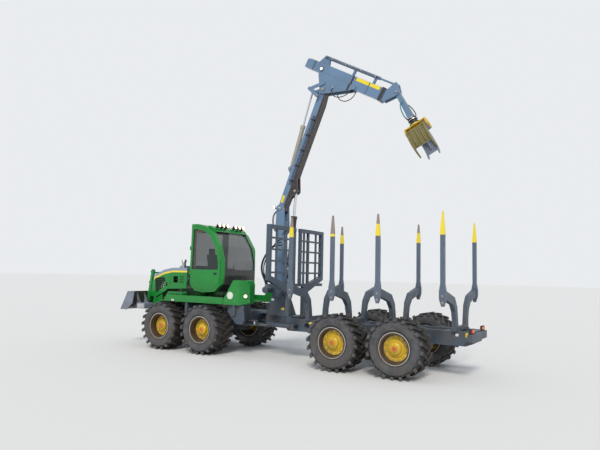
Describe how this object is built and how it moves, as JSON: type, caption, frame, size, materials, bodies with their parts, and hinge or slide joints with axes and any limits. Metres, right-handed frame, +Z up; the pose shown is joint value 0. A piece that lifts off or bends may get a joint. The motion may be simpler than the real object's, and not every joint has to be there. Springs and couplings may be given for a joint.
{
  "type": "forestry forwarder",
  "caption": "Articulated eight-wheel forestry forwarder with a turning cab, a front blade, a staked load space and a telescoping loading crane with a timber grapple.",
  "frame": {"origin": "on the ground under the middle of the overall length", "axes": "+X forward, +Y left, +Z up"},
  "size_m": [10.5, 2.93, 8.3212],
  "materials": {
    "machine_green": "gloss",
    "frame_slate": "satin",
    "crane_slate": "satin",
    "engine_black": "matt",
    "stack_steel": "satin",
    "grille_black": "matt",
    "blade_steel": "worn satin",
    "cab_glass": "clear",
    "seat_black": "woven",
    "lamp_glass": "clear",
    "rod_chrome": "polished",
    "grapple_yellow": "satin",
    "jaw_steel": "worn",
    "tyre_rubber": "matt",
    "rim_yellow": "gloss"
  },
  "bodies": {
    "chassis": {"front_frame": "frame_slate", "front_axle": "frame_slate", "engine_block": "engine_black", "side_sills": "machine_green", "tanks": "machine_green", "cab_turntable": "engine_black", "stack": "stack_steel", "rear_cowl": "machine_green", "front_guard": "machine_green"},
    "hood": {"hood_shell": "machine_green", "hood_grille": "grille_black"},
    "blade_arms": {"blade_arms": "frame_slate"},
    "blade": {"blade": "blade_steel"},
    "cab": {"cab_shell": "machine_green", "cab_glass": "cab_glass", "cab_seat": "seat_black", "cab_lamps": "lamp_glass"},
    "door": {"door_frame": "machine_green", "door_glass": "cab_glass"},
    "load_frame": {"rear_frame": "frame_slate", "rear_axle": "frame_slate", "crane_base": "crane_slate", "headboard": "frame_slate", "bunks": "frame_slate", "stakes": "frame_slate"},
    "pillar": {"crane_pillar": "crane_slate"},
    "lift_barrel": {"lift_barrel": "crane_slate"},
    "lift_rod": {"lift_rod": "rod_chrome"},
    "main_boom": {"main_boom": "crane_slate"},
    "knuckle_barrel": {"knuckle_barrel": "crane_slate"},
    "knuckle_rod": {"knuckle_rod": "rod_chrome"},
    "boom_link": {"boom_link": "crane_slate"},
    "jib_link": {"jib_link": "crane_slate"},
    "outer_boom": {"outer_boom": "crane_slate"},
    "telescope": {"telescope": "crane_slate"},
    "hanger": {"hanger": "crane_slate"},
    "grapple": {"rotator": "engine_black", "grapple_head": "grapple_yellow"},
    "jaw_left": {"jaw_left": "jaw_steel"},
    "jaw_right": {"jaw_right": "jaw_steel"},
    "steer_barrel_left": {"steer_barrel_left": "crane_slate"},
    "steer_rod_left": {"steer_rod_left": "rod_chrome"},
    "steer_barrel_right": {"steer_barrel_right": "crane_slate"},
    "steer_rod_right": {"steer_rod_right": "rod_chrome"},
    "wheel_1_left": {"tyre_1_left": "tyre_rubber", "rim_1_left": "rim_yellow"},
    "wheel_1_right": {"tyre_1_right": "tyre_rubber", "rim_1_right": "rim_yellow"},
    "wheel_2_left": {"tyre_2_left": "tyre_rubber", "rim_2_left": "rim_yellow"},
    "wheel_2_right": {"tyre_2_right": "tyre_rubber", "rim_2_right": "rim_yellow"},
    "wheel_3_left": {"tyre_3_left": "tyre_rubber", "rim_3_left": "rim_yellow"},
    "wheel_3_right": {"tyre_3_right": "tyre_rubber", "rim_3_right": "rim_yellow"},
    "wheel_4_left": {"tyre_4_left": "tyre_rubber", "rim_4_left": "rim_yellow"},
    "wheel_4_right": {"tyre_4_right": "tyre_rubber", "rim_4_right": "rim_yellow"}
  },
  "joints": [
    {"name": "wheel_1_left_spin", "type": "hinge", "parent": "chassis", "child": "wheel_1_left", "pos_m": [3.42, 1.11, 0.67], "axis": [0, 1, 0], "continuous": true},
    {"name": "wheel_1_right_spin", "type": "hinge", "parent": "chassis", "child": "wheel_1_right", "pos_m": [3.42, -1.11, 0.67], "axis": [0, 1, 0], "continuous": true},
    {"name": "wheel_2_left_spin", "type": "hinge", "parent": "chassis", "child": "wheel_2_left", "pos_m": [1.88, 1.11, 0.67], "axis": [0, 1, 0], "continuous": true},
    {"name": "wheel_2_right_spin", "type": "hinge", "parent": "chassis", "child": "wheel_2_right", "pos_m": [1.88, -1.11, 0.67], "axis": [0, 1, 0], "continuous": true},
    {"name": "wheel_3_left_spin", "type": "hinge", "parent": "load_frame", "child": "wheel_3_left", "pos_m": [-2.2, 1.11, 0.67], "axis": [0, 1, 0], "continuous": true},
    {"name": "wheel_3_right_spin", "type": "hinge", "parent": "load_frame", "child": "wheel_3_right", "pos_m": [-2.2, -1.11, 0.67], "axis": [0, 1, 0], "continuous": true},
    {"name": "wheel_4_left_spin", "type": "hinge", "parent": "load_frame", "child": "wheel_4_left", "pos_m": [-3.74, 1.11, 0.67], "axis": [0, 1, 0], "continuous": true},
    {"name": "wheel_4_right_spin", "type": "hinge", "parent": "load_frame", "child": "wheel_4_right", "pos_m": [-3.74, -1.11, 0.67], "axis": [0, 1, 0], "continuous": true},
    {"name": "steering", "type": "hinge", "parent": "chassis", "child": "load_frame", "pos_m": [0.55, 0, 0.97], "axis": [0, 0, 1], "range_deg": [-44, 44]},
    {"name": "cab_turn", "type": "hinge", "parent": "chassis", "child": "cab", "pos_m": [2.17, 0, 1.6], "axis": [0, 0, -1], "range_deg": [-145, 145]},
    {"name": "door_swing", "type": "hinge", "parent": "cab", "child": "door", "pos_m": [2.846, 0.866, 2.5], "axis": [0, 0, -1], "range_deg": [0, 80]},
    {"name": "hood_tilt", "type": "hinge", "parent": "chassis", "child": "hood", "pos_m": [4.55, 0, 2.09], "axis": [0, 1, 0], "range_deg": [0, 50]},
    {"name": "blade_lift", "type": "hinge", "parent": "chassis", "child": "blade_arms", "pos_m": [3.85, 0, 1], "axis": [0, 1, 0], "range_deg": [0, 65]},
    {"name": "blade_level", "type": "hinge", "parent": "blade_arms", "child": "blade", "pos_m": [4.7597, 0, 1.1934], "axis": [0, 1, 0], "range_deg": [-65, 0]},
    {"name": "crane_slew", "type": "hinge", "parent": "load_frame", "child": "pillar", "pos_m": [0.18, 0, 1.96], "axis": [0, 0, 1], "range_deg": [-190, 190]},
    {"name": "boom_lift", "type": "hinge", "parent": "pillar", "child": "main_boom", "pos_m": [0.18, 0, 4.077], "axis": [0, -1, 0], "range_deg": [-12, 52]},
    {"name": "jib_fold", "type": "hinge", "parent": "main_boom", "child": "outer_boom", "pos_m": [-1.1304, 0, 7.3203], "axis": [0, 1, 0], "range_deg": [-60, 80]},
    {"name": "telescope_slide", "type": "slide", "parent": "outer_boom", "child": "telescope", "axis": [-0.8746, 0, -0.4848], "range_m": [0, 1.5]},
    {"name": "hanger_swing", "type": "hinge", "parent": "telescope", "child": "hanger", "pos_m": [-3.2393, 0, 6.9253], "axis": [0, -1, 0], "range_deg": [-30, 80]},
    {"name": "rotator_turn", "type": "hinge", "parent": "hanger", "child": "grapple", "pos_m": [-3.6233, 0, 6.2031], "axis": [-0.4695, 0, -0.8829], "continuous": true},
    {"name": "jaw_left_swing", "type": "hinge", "parent": "grapple", "child": "jaw_left", "pos_m": [-3.7975, 0.15, 5.8755], "axis": [0.8829, 0, -0.4695], "range_deg": [-25, 45]},
    {"name": "jaw_right_swing", "type": "hinge", "parent": "grapple", "child": "jaw_right", "pos_m": [-3.7975, -0.15, 5.8755], "axis": [-0.8829, 0, 0.4695], "range_deg": [-25, 45]},
    {"name": "lift_barrel_swing", "type": "hinge", "parent": "pillar", "child": "lift_barrel", "pos_m": [-0.09, 0, 2.38], "axis": [0, -1, 0], "range_deg": [-2.49, 9.98]},
    {"name": "lift_rod_slide", "type": "slide", "parent": "lift_barrel", "child": "lift_rod", "axis": [-0.0737, 0, 0.9973], "range_m": [-0.4722, 0.1178]},
    {"name": "knuckle_barrel_swing", "type": "hinge", "parent": "main_boom", "child": "knuckle_barrel", "pos_m": [-0.0728, 0, 5.2152], "axis": [0, -1, 0], "range_deg": [-1.9, 1.44]},
    {"name": "knuckle_rod_slide", "type": "slide", "parent": "knuckle_barrel", "child": "knuckle_rod", "axis": [-0.2855, 0, 0.9584], "range_m": [-0.2808, 0.213]},
    {"name": "boom_link_swing", "type": "hinge", "parent": "main_boom", "child": "boom_link", "pos_m": [-0.9707, 0, 7.1572], "axis": [0, -1, 0], "range_deg": [-50.44, 38.26]},
    {"name": "jib_link_swing", "type": "hinge", "parent": "outer_boom", "child": "jib_link", "pos_m": [-1.1475, 0, 7.4914], "axis": [0, -1, 0], "range_deg": [-40.12, 52.89]},
    {"name": "steer_barrel_left_swing", "type": "hinge", "parent": "load_frame", "child": "steer_barrel_left", "pos_m": [-0.63, 0.64, 0.87], "axis": [0, 0, 1], "range_deg": [-3.13, 3.13]},
    {"name": "steer_rod_left_slide", "type": "slide", "parent": "steer_barrel_left", "child": "steer_rod_left", "axis": [0.9885, -0.1515, 0], "range_m": [-0.3453, 0.3453]},
    {"name": "steer_barrel_right_swing", "type": "hinge", "parent": "load_frame", "child": "steer_barrel_right", "pos_m": [-0.63, -0.64, 0.87], "axis": [0, 0, 1], "range_deg": [-3.13, 3.13]},
    {"name": "steer_rod_right_slide", "type": "slide", "parent": "steer_barrel_right", "child": "steer_rod_right", "axis": [0.9885, 0.1515, 0], "range_m": [-0.3453, 0.3453]}
  ],
  "couplings": [
    {"joint": "blade_level", "follows": "blade_lift", "ratio": -1},
    {"joint": "jaw_right_swing", "follows": "jaw_left_swing", "ratio": 1},
    {"joint": "lift_barrel_swing", "follows": "boom_lift", "ratio": 0.18724},
    {"joint": "lift_rod_slide", "follows": "boom_lift", "m_per_rad": -0.50766},
    {"joint": "knuckle_barrel_swing", "follows": "jib_fold", "ratio": -0.0229},
    {"joint": "knuckle_rod_slide", "follows": "jib_fold", "m_per_rad": -0.19421},
    {"joint": "boom_link_swing", "follows": "jib_fold", "ratio": -0.6091},
    {"joint": "jib_link_swing", "follows": "jib_fold", "ratio": 0.63868},
    {"joint": "steer_barrel_left_swing", "follows": "steering", "ratio": -0.06836},
    {"joint": "steer_rod_left_slide", "follows": "steering", "m_per_rad": 0.43228},
    {"joint": "steer_barrel_right_swing", "follows": "steering", "ratio": -0.06836},
    {"joint": "steer_rod_right_slide", "follows": "steering", "m_per_rad": -0.43228}
  ]
}
